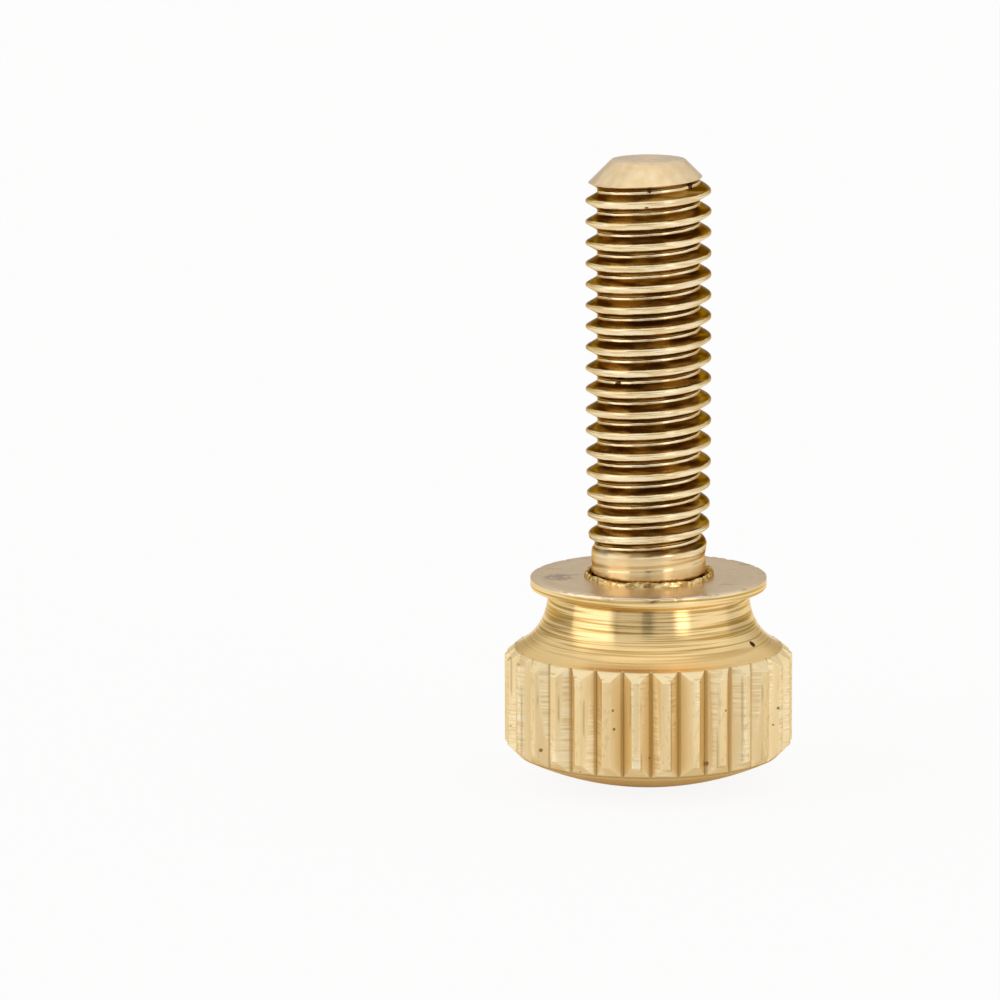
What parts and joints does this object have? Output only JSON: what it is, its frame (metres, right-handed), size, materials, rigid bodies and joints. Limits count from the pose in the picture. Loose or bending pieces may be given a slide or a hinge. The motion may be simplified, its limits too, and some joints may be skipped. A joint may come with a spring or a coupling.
{
  "type": "knurled thumb screw",
  "caption": "Brass thumb screw with a domed straight-knurled head, a narrow neck, a thin clamping collar and an M6 thread.",
  "frame": {"origin": "pole of the domed head, where the standing screw touches the surface", "axes": "+Z along the screw's axis, from the domed head to the tip of the thread"},
  "size_m": [0.0138, 0.0138, 0.03],
  "materials": {
    "turned_brass": "fine turned, bright, with darker thread grooves"
  },
  "bodies": {
    "root": {"thumb_screw": "turned_brass"}
  },
  "joints": []
}
